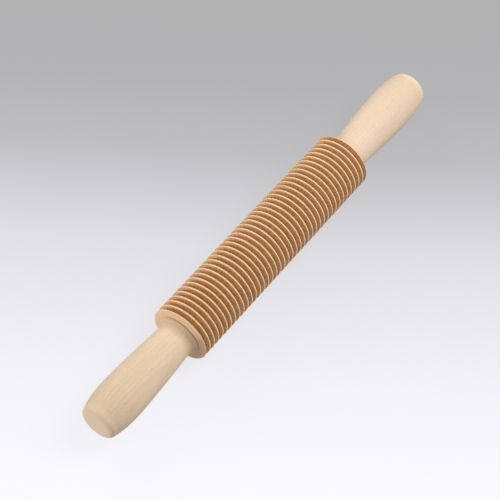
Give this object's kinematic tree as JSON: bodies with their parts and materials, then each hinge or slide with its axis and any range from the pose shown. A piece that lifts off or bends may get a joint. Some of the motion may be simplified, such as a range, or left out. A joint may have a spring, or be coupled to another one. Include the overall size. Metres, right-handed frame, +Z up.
{
  "type": "pasta cutter rolling pin",
  "caption": "Wooden rolling pin whose barrel is cut with thin parallel rings that slice a pasta sheet into ribbons; the barrel turns on an axle between two turned handles.",
  "frame": {"origin": "middle of the barrel, on the axle's axis", "axes": "+X along the pin towards the right handle, +Z up with the pin lying on its rings, +Y to the back"},
  "size_m": [0.31, 0.0374, 0.037],
  "materials": {
    "barrel_beech": "turned, unvarnished, pale on the crests and browner in the grooves",
    "handle_beech": "turned and sanded smooth, unvarnished",
    "steel": "turned",
    "nylon": "moulded",
    "brass": "machined"
  },
  "bodies": {
    "handle_frame": {"axle": "steel", "left_thrust_washer": "nylon", "right_thrust_washer": "nylon", "left_washer": "steel", "right_washer": "steel", "left_lock_nut": "steel", "right_lock_nut": "steel", "left_insert": "brass", "right_insert": "brass", "left_handle": "handle_beech", "right_handle": "handle_beech"},
    "roller": {"barrel": "barrel_beech", "left_bush": "nylon", "right_bush": "nylon"}
  },
  "joints": [
    {"name": "roller_spin", "type": "hinge", "parent": "handle_frame", "child": "roller", "pos_m": [0, 0, 0], "axis": [1, 0, 0], "continuous": true}
  ]
}
